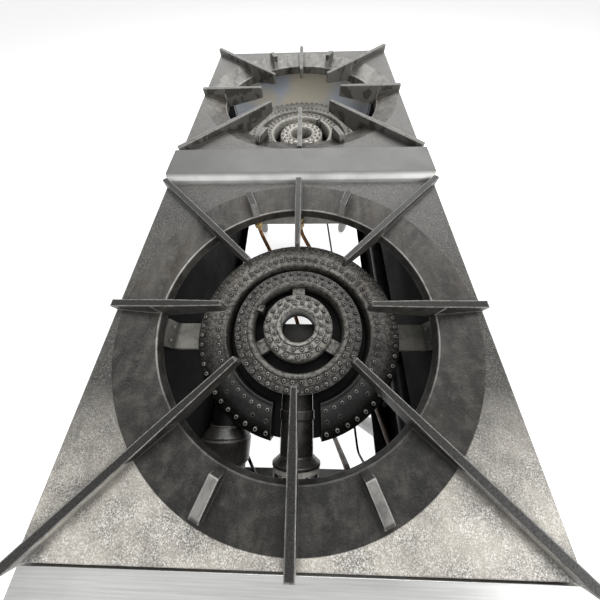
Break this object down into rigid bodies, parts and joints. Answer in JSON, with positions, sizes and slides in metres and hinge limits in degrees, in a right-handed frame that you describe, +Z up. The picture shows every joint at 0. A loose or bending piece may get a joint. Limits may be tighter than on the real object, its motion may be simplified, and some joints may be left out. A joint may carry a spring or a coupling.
{
  "type": "stock pot range",
  "caption": "Floor-standing gas stock pot range with cast grates front and rear, three-ring burners, a folded bridge between the grates, front knobs and legs.",
  "frame": {"origin": "middle of the footprint, on the floor", "axes": "+Z up, -Y is the front with the knobs, +X is the right side seen from the front"},
  "size_m": [0.4608, 1.1276, 0.6096],
  "materials": {
    "grate_iron": "worn matte",
    "burner_iron": "heat-marked matte",
    "stainless": "brushed",
    "side_paint": "dark satin",
    "zinc_sheet": "galvanised",
    "zinc_parts": "zinc plated",
    "pilot_tube": "satin",
    "copper_tube": "copper, dulled",
    "black_pipe": "black, satin",
    "brass_parts": "dulled",
    "screw_steel": "plated",
    "knob_plastic": "satin",
    "leg_steel": "satin"
  },
  "bodies": {
    "range": {"control_panel": "stainless", "front_ledge": "stainless", "left_side_panel": "side_paint", "right_side_panel": "side_paint", "back_panel": "zinc_sheet", "centre_cross_rail": "zinc_sheet", "front_burner_rail": "zinc_sheet", "rear_burner_rail": "zinc_sheet", "manifold_brackets": "zinc_sheet", "front_outer_burner": "burner_iron", "front_inner_burner": "burner_iron", "rear_outer_burner": "burner_iron", "rear_inner_burner": "burner_iron", "front_outer_mixer": "burner_iron", "front_inner_mixer": "burner_iron", "rear_outer_mixer": "burner_iron", "rear_inner_mixer": "burner_iron", "front_pilot": "zinc_parts", "rear_pilot": "zinc_parts", "front_pilot_tube": "pilot_tube", "rear_pilot_tube": "pilot_tube", "outer_supply_tube": "copper_tube", "inner_supply_tube": "copper_tube", "manifold_pipe": "black_pipe", "supply_pipe": "black_pipe", "pipe_fittings": "black_pipe", "burner_valves": "brass_parts", "pilot_valves": "brass_parts", "orifice_hoods": "brass_parts", "orifice_elbows": "brass_parts", "tube_nuts": "brass_parts", "panel_screws": "screw_steel", "rail_screws": "screw_steel", "burner_bolts": "screw_steel", "leg_bolts": "screw_steel", "front_left_leg": "leg_steel", "front_right_leg": "leg_steel", "rear_left_leg": "leg_steel", "rear_right_leg": "leg_steel"},
    "front_outer_control": {"front_outer_stem": "screw_steel", "front_outer_knob": "knob_plastic"},
    "front_inner_control": {"front_inner_stem": "screw_steel", "front_inner_knob": "knob_plastic"},
    "rear_outer_control": {"rear_outer_stem": "screw_steel", "rear_outer_knob": "knob_plastic"},
    "rear_inner_control": {"rear_inner_stem": "screw_steel", "rear_inner_knob": "knob_plastic"},
    "front_outer_air_shutter": {"front_outer_shutter": "zinc_parts"},
    "front_inner_air_shutter": {"front_inner_shutter": "zinc_parts"},
    "rear_outer_air_shutter": {"rear_outer_shutter": "zinc_parts"},
    "rear_inner_air_shutter": {"rear_inner_shutter": "zinc_parts"},
    "front_pilot_adjuster": {"front_pilot_screw": "screw_steel"},
    "rear_pilot_adjuster": {"rear_pilot_screw": "screw_steel"},
    "front_left_levelling_foot": {"front_left_foot": "leg_steel"},
    "front_right_levelling_foot": {"front_right_foot": "leg_steel"},
    "rear_left_levelling_foot": {"rear_left_foot": "leg_steel"},
    "rear_right_levelling_foot": {"rear_right_foot": "leg_steel"},
    "front_grate_piece": {"front_grate": "grate_iron"},
    "rear_grate_piece": {"rear_grate": "grate_iron"},
    "grate_bridge_piece": {"grate_bridge": "stainless"}
  },
  "joints": [
    {"name": "front_outer_knob_turn", "type": "hinge", "parent": "range", "child": "front_outer_control", "pos_m": [-0.104, -0.54305, 0.479], "axis": [0, -1, 0], "range_deg": [0, 90]},
    {"name": "front_inner_knob_turn", "type": "hinge", "parent": "range", "child": "front_inner_control", "pos_m": [0, -0.54305, 0.479], "axis": [0, -1, 0], "range_deg": [0, 90]},
    {"name": "rear_outer_knob_turn", "type": "hinge", "parent": "range", "child": "rear_outer_control", "pos_m": [0.075, -0.54305, 0.479], "axis": [0, -1, 0], "range_deg": [0, 90]},
    {"name": "rear_inner_knob_turn", "type": "hinge", "parent": "range", "child": "rear_inner_control", "pos_m": [0.146, -0.54305, 0.479], "axis": [0, -1, 0], "range_deg": [0, 90]},
    {"name": "front_outer_shutter_turn", "type": "hinge", "parent": "range", "child": "front_outer_air_shutter", "pos_m": [-0.104, -0.44685, 0.479], "axis": [0, 1, 0], "range_deg": [0, 45]},
    {"name": "front_inner_shutter_turn", "type": "hinge", "parent": "range", "child": "front_inner_air_shutter", "pos_m": [0, -0.44685, 0.479], "axis": [0, 1, 0], "range_deg": [0, 45]},
    {"name": "rear_outer_shutter_turn", "type": "hinge", "parent": "range", "child": "rear_outer_air_shutter", "pos_m": [-0.104, 0.09815, 0.479], "axis": [0, 1, 0], "range_deg": [0, 45]},
    {"name": "rear_inner_shutter_turn", "type": "hinge", "parent": "range", "child": "rear_inner_air_shutter", "pos_m": [0, 0.09815, 0.479], "axis": [0, 1, 0], "range_deg": [0, 45]},
    {"name": "front_pilot_screw_turn", "type": "hinge", "parent": "range", "child": "front_pilot_adjuster", "pos_m": [-0.05, -0.51475, 0.479], "axis": [0, -1, 0], "range_deg": [0, 180]},
    {"name": "rear_pilot_screw_turn", "type": "hinge", "parent": "range", "child": "rear_pilot_adjuster", "pos_m": [0.1105, -0.51475, 0.479], "axis": [0, -1, 0], "range_deg": [0, 180]},
    {"name": "front_left_foot_level", "type": "slide", "parent": "range", "child": "front_left_levelling_foot", "axis": [0, 0, -1], "range_m": [0, 0.025]},
    {"name": "front_right_foot_level", "type": "slide", "parent": "range", "child": "front_right_levelling_foot", "axis": [0, 0, -1], "range_m": [0, 0.025]},
    {"name": "rear_left_foot_level", "type": "slide", "parent": "range", "child": "rear_left_levelling_foot", "axis": [0, 0, -1], "range_m": [0, 0.025]},
    {"name": "rear_right_foot_level", "type": "slide", "parent": "range", "child": "rear_right_levelling_foot", "axis": [0, 0, -1], "range_m": [0, 0.025]},
    {"name": "front_grate_lift", "type": "slide", "parent": "range", "child": "front_grate_piece", "axis": [0, 0, 1], "range_m": [0, 0.06]},
    {"name": "rear_grate_lift", "type": "slide", "parent": "range", "child": "rear_grate_piece", "axis": [0, 0, 1], "range_m": [0, 0.06]},
    {"name": "grate_bridge_lift", "type": "slide", "parent": "range", "child": "grate_bridge_piece", "axis": [0, 0, 1], "range_m": [0, 0.06]}
  ]
}
